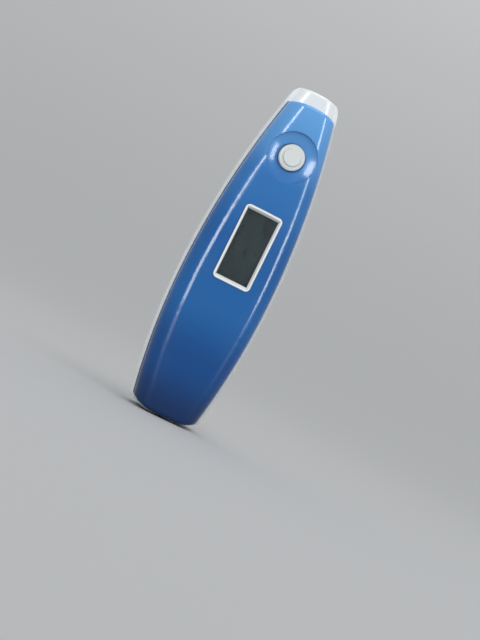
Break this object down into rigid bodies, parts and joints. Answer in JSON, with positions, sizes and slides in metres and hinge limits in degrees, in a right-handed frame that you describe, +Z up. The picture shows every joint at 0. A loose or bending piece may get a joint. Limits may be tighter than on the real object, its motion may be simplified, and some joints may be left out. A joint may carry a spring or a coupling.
{
  "type": "digital ear thermometer",
  "caption": "Handheld infrared ear thermometer: crowned handle with a round scan button and a display, an angled ear probe under a clear cap, and a sliding battery door.",
  "frame": {"origin": "middle of the small flat foot at the bottom end of the handle", "axes": "+Z up the handle to the head, the front with the button and display faces -Y, the ear probe points to +Y, +X to the right seen from the front"},
  "size_m": [0.042, 0.054, 0.1478],
  "materials": {
    "blue_shell": "glossy",
    "white_shell": "satin",
    "white_button": "satin",
    "white_bezel": "glossy",
    "clear_window": "clear",
    "dark_display": "glossy",
    "inner_plastic": "matte",
    "black_plastic": "matte",
    "grey_rubber": "matte",
    "board_laminate": "satin solder mask",
    "ferrite": "matte",
    "copper": "bare copper",
    "cell_jacket": "satin",
    "plated_steel": "nickel plated",
    "screw_steel": "zinc plated",
    "sensor_filter": "polished",
    "sleeve_brass": "turned",
    "flex_film": "amber film",
    "clear_cap": "clear"
  },
  "bodies": {
    "handle": {"front_shell": "blue_shell", "rear_shell": "white_shell", "button_seal": "grey_rubber", "tact_switch_body": "black_plastic", "display_bezel": "white_bezel", "display_window": "clear_window", "lcd_panel": "dark_display", "lcd_holder": "inner_plastic", "zebra_connectors": "grey_rubber", "circuit_board": "board_laminate", "board_chips": "black_plastic", "buzzer": "black_plastic", "nfc_ferrite_sheet": "ferrite", "nfc_coil": "copper", "battery_tray": "inner_plastic", "battery_cell_left": "cell_jacket", "battery_cell_right": "cell_jacket", "battery_springs": "plated_steel", "battery_contacts": "plated_steel", "battery_link_plate": "plated_steel", "case_screws": "screw_steel", "probe_cone": "white_shell", "probe_nose_ring": "white_button", "sensor_window": "sensor_filter", "sensor_sleeve": "sleeve_brass", "sensor_can": "plated_steel", "probe_seal": "grey_rubber", "sensor_flex": "flex_film"},
    "button": {"scan_button": "white_button", "tact_switch_plunger": "black_plastic"},
    "door": {"battery_door": "white_shell"},
    "cap": {"probe_cap": "clear_cap"}
  },
  "joints": [
    {"name": "button_press", "type": "slide", "parent": "handle", "child": "button", "axis": [0, 1, 0], "range_m": [0, 0.0007], "stiffness_N_per_m": 2500, "springref_m": -0.0002},
    {"name": "battery_door_slide", "type": "slide", "parent": "handle", "child": "door", "axis": [0, 0, -1], "range_m": [0, 0.06]},
    {"name": "probe_cap_pull", "type": "slide", "parent": "handle", "child": "cap", "axis": [0, 0.9781, 0.2079], "range_m": [0, 0.036]}
  ]
}
